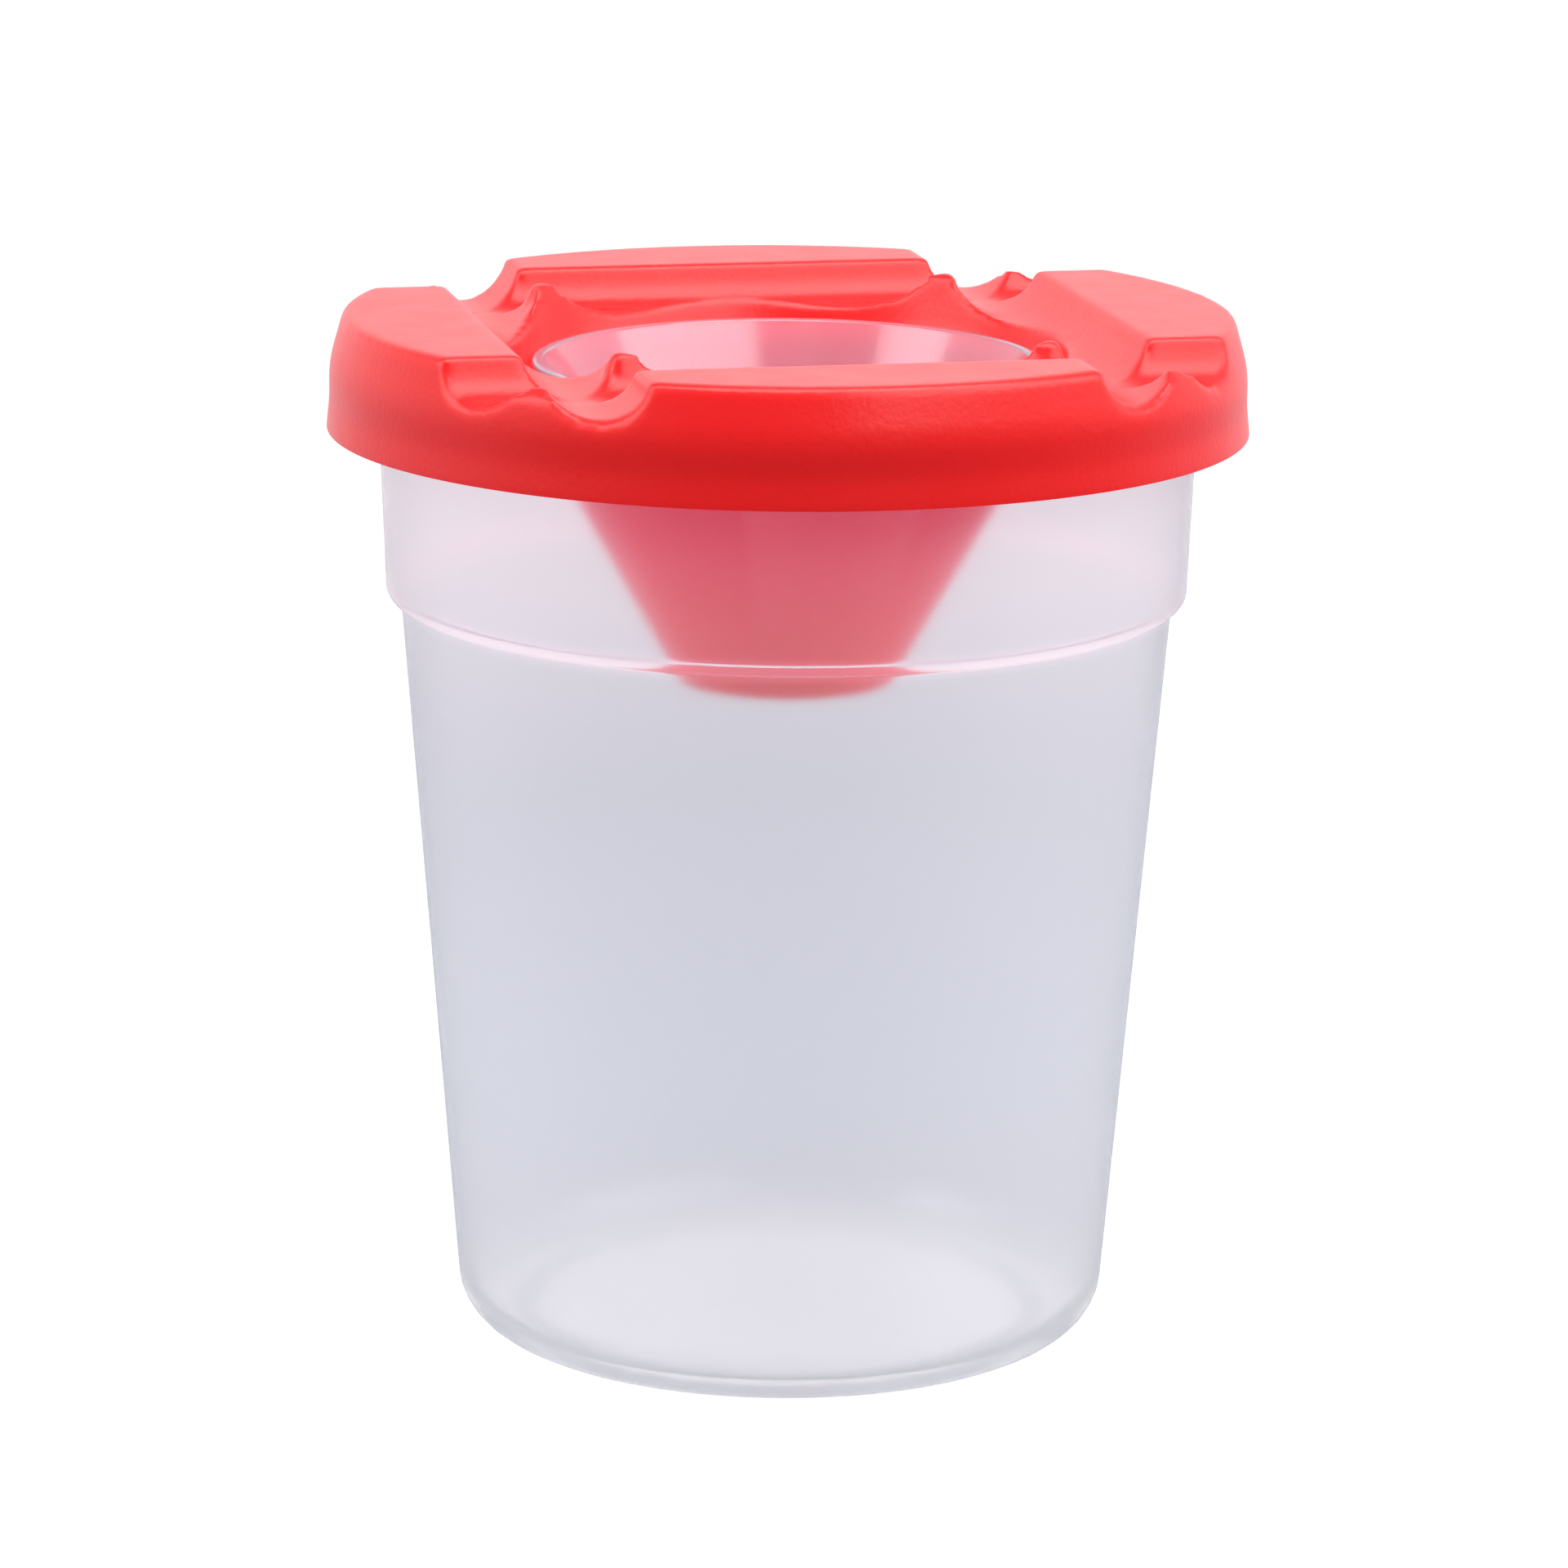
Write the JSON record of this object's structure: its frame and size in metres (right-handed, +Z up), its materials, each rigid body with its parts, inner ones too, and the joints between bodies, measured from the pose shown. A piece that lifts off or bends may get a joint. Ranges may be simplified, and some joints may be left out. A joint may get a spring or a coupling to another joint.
{
  "type": "non-spill brush washer",
  "caption": "Non-spill brush washer: clear stepped cup, red press-fit lid with a funnel and half-round brush rests across its top, and a conical stopper in the funnel.",
  "frame": {"origin": "centre of the cup's base, on the table", "axes": "+Z up along the axis of the cup, +X and +Y along the brush rests in the lid"},
  "size_m": [0.0776, 0.0776, 0.0877],
  "materials": {
    "clear_plastic": "natural translucent polypropylene, smooth outside, slightly milky, so that what is inside shows blurred",
    "red_plastic": "opaque red polyethylene, satin, with a very fine mould texture and soft edges",
    "milky_plastic": "milky translucent polypropylene, smooth, tinted pink by the red funnel round it"
  },
  "bodies": {
    "cup": {"cup": "clear_plastic"},
    "lid": {"lid": "red_plastic"},
    "stopper": {"stopper": "milky_plastic"}
  },
  "joints": [
    {"name": "lid_lift", "type": "slide", "parent": "cup", "child": "lid", "axis": [0, 0, 1], "range_m": [0, 0.035]},
    {"name": "stopper_lift", "type": "slide", "parent": "lid", "child": "stopper", "axis": [0, 0, 1], "range_m": [0, 0.035]}
  ]
}
